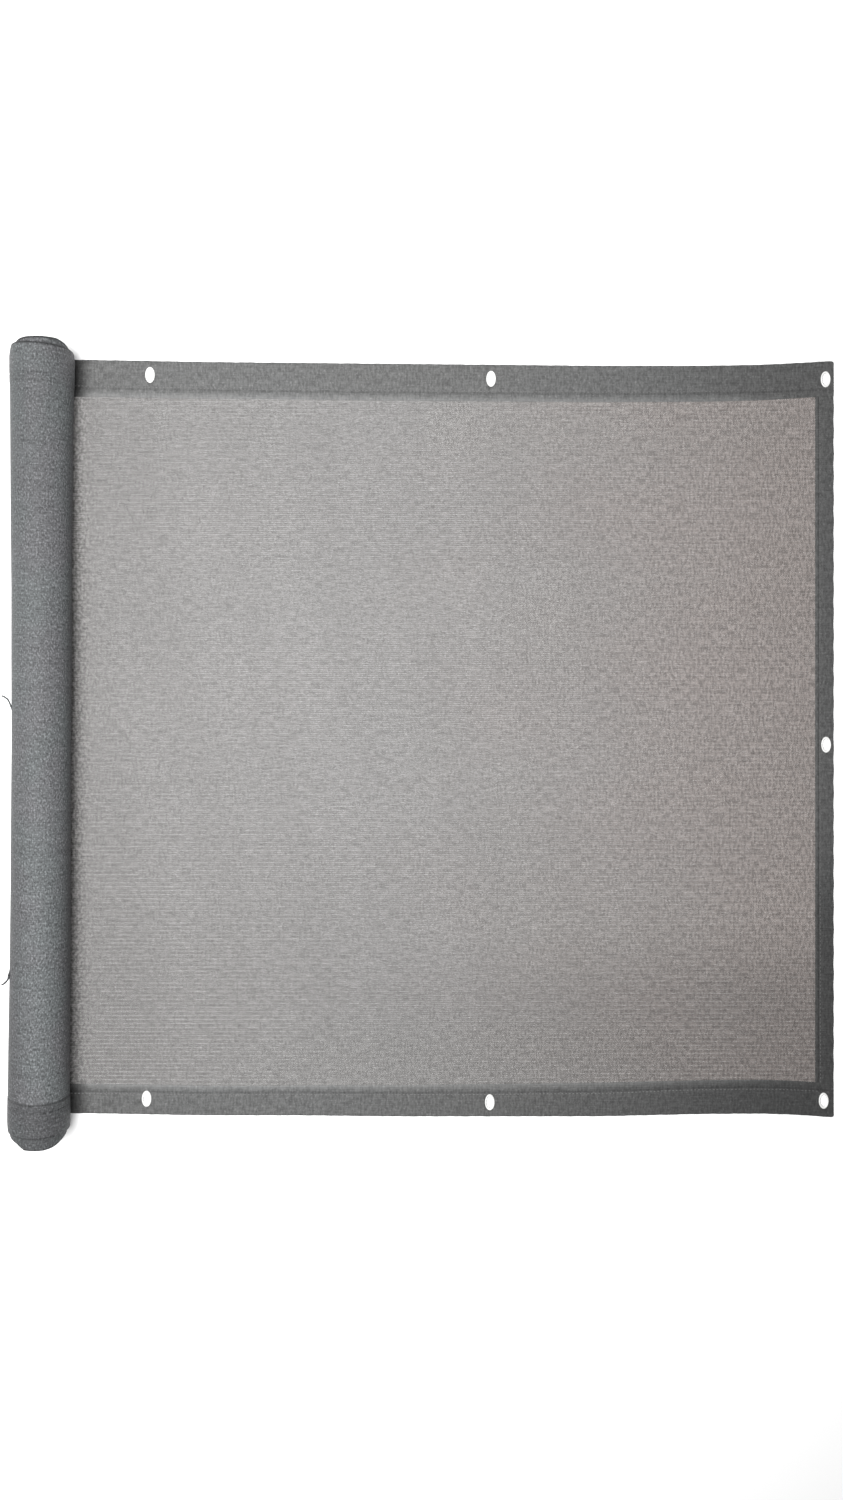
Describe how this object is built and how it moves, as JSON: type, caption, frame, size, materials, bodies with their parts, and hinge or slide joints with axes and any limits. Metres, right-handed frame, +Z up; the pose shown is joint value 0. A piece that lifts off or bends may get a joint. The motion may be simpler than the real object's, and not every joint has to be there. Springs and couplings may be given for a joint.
{
  "type": "balcony privacy screen",
  "caption": "Knitted cloth screen with hemmed edges and eyelets, partly unrolled and lying flat, the rest wound on its roll.",
  "frame": {"origin": "middle of the footprint of the flat length and its roll, on the surface they lie on", "axes": "+X along the cloth's length, from the roll towards its free end; +Y across the cloth, towards its upper hem; +Z up from the surface"},
  "size_m": [0.9703, 0.9213, 0.0711],
  "materials": {
    "field_knit": "matt, open knit of fine grey plastic yarn, see-through enough to lighten over a white floor",
    "hem_cloth": "matt, the same grey knit doubled over and sewn",
    "wound_knit": "matt, the same grey knit in many layers",
    "eyelet": "smooth white"
  },
  "bodies": {
    "root": {"rolled_cloth": "wound_knit", "screen_field": "field_knit", "top_hem": "hem_cloth", "bottom_hem": "hem_cloth", "side_hem": "hem_cloth", "eyelet_top_left": "eyelet", "eyelet_top_middle": "eyelet", "eyelet_top_right": "eyelet", "eyelet_side_middle": "eyelet", "eyelet_bottom_left": "eyelet", "eyelet_bottom_middle": "eyelet", "eyelet_bottom_right": "eyelet"}
  },
  "joints": []
}
